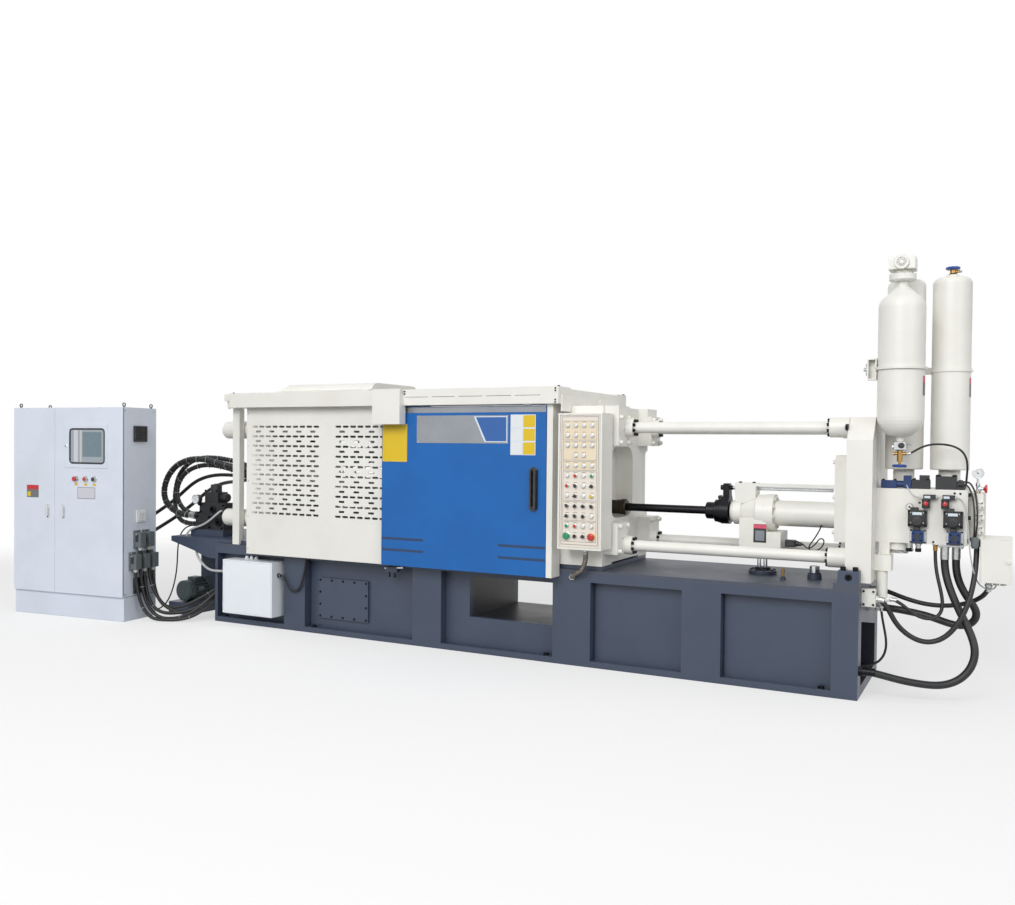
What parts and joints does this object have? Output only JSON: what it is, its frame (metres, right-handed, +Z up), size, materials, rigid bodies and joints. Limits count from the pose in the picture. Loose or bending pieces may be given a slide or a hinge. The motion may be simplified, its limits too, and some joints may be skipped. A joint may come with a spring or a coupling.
{
  "type": "cold chamber die casting machine",
  "caption": "Cold chamber die casting machine: welded base, guarded toggle clamp unit with sliding safety door, shot unit, accumulators and control cabinet.",
  "frame": {"origin": "on the floor, under the middle of the welded base, on the machine's centre plane", "axes": "+X along the machine towards the injection end, -Y towards the operator, +Z up"},
  "size_m": [7.6572, 1.6907, 2.624],
  "materials": {
    "slate_enamel": "satin enamel on welded plate",
    "cream_enamel": "gloss enamel",
    "blue_enamel": "gloss enamel on sheet steel",
    "white_powder_coat": "fine powder coat",
    "bare_steel": "ground steel",
    "blackened_steel": "blackened steel",
    "black_plastic": "moulded",
    "black_iron": "painted casting",
    "grey_enamel": "hammered enamel",
    "brass": "cast and turned",
    "zinc_sheet": "zinc plated sheet",
    "hose_rubber": "rubber hose cover"
  },
  "bodies": {
    "machine": {"base_frame": "slate_enamel", "base_deck": "slate_enamel", "hatch_covers": "slate_enamel", "bed_plate": "slate_enamel", "fixed_platen": "cream_enamel", "moving_platen": "cream_enamel", "rear_platen": "cream_enamel", "tie_bars": "bare_steel", "tie_bar_caps": "cream_enamel", "clamp_plates": "cream_enamel", "toggle_linkage": "bare_steel", "closing_cylinder": "cream_enamel", "guard_rails": "cream_enamel", "guard_posts": "cream_enamel", "perforated_panels": "cream_enamel", "rear_door": "blue_enamel", "door_drive_cover": "cream_enamel", "top_hood": "cream_enamel", "cross_beam": "cream_enamel", "control_box": "white_powder_coat", "control_plate": "cream_enamel", "control_buttons": "zinc_sheet", "injection_rods": "cream_enamel", "injection_plate": "cream_enamel", "link_plate": "cream_enamel", "plate_clamps": "slate_enamel", "shot_sleeve": "blackened_steel", "shot_cylinder": "cream_enamel", "shot_saddle": "cream_enamel", "shot_support": "cream_enamel", "manifold": "cream_enamel", "manifold_valves": "black_plastic", "pilot_valves": "blue_enamel", "accumulator": "cream_enamel", "gas_bottles": "cream_enamel", "gas_valves": "brass", "bottle_strap": "cream_enamel", "lift_column": "cream_enamel", "terminal_box": "cream_enamel", "pump_block": "black_iron", "pump_motor": "grey_enamel", "pump_stand": "slate_enamel", "junction_box": "white_powder_coat", "right_hoses": "hose_rubber", "left_hoses": "hose_rubber", "cabinet_cables": "hose_rubber", "cabinet_shell": "white_powder_coat", "cabinet_plinth": "white_powder_coat", "cabinet_plate": "zinc_sheet", "cabinet_fittings": "black_plastic"},
    "safety_door": {"door_leaf": "blue_enamel", "door_handle": "black_plastic", "door_hangers": "bare_steel"},
    "plunger": {"plunger_rod": "blackened_steel", "plunger_arm": "blackened_steel"},
    "terminal_door": {"terminal_door": "cream_enamel"},
    "cabinet_door_left": {"cabinet_left_door": "white_powder_coat"},
    "cabinet_door_right": {"cabinet_right_door": "white_powder_coat"}
  },
  "joints": [
    {"name": "safety_door_slide", "type": "slide", "parent": "machine", "child": "safety_door", "axis": [-1, 0, 0], "range_m": [0, 1.28]},
    {"name": "plunger_stroke", "type": "slide", "parent": "machine", "child": "plunger", "axis": [-1, 0, 0], "range_m": [0, 0.36]},
    {"name": "terminal_door_hinge", "type": "hinge", "parent": "machine", "child": "terminal_door", "pos_m": [3.154, -0.2003, 0.84], "axis": [0, 0, -1], "range_deg": [0, 110]},
    {"name": "cabinet_left_hinge", "type": "hinge", "parent": "machine", "child": "cabinet_door_left", "pos_m": [-4.2952, -1.04374, 0.97], "axis": [0, 0, -1], "range_deg": [0, 110]},
    {"name": "cabinet_right_hinge", "type": "hinge", "parent": "machine", "child": "cabinet_door_right", "pos_m": [-3.11569, -0.91977, 0.97], "axis": [0, 0, 1], "range_deg": [0, 110]}
  ]
}
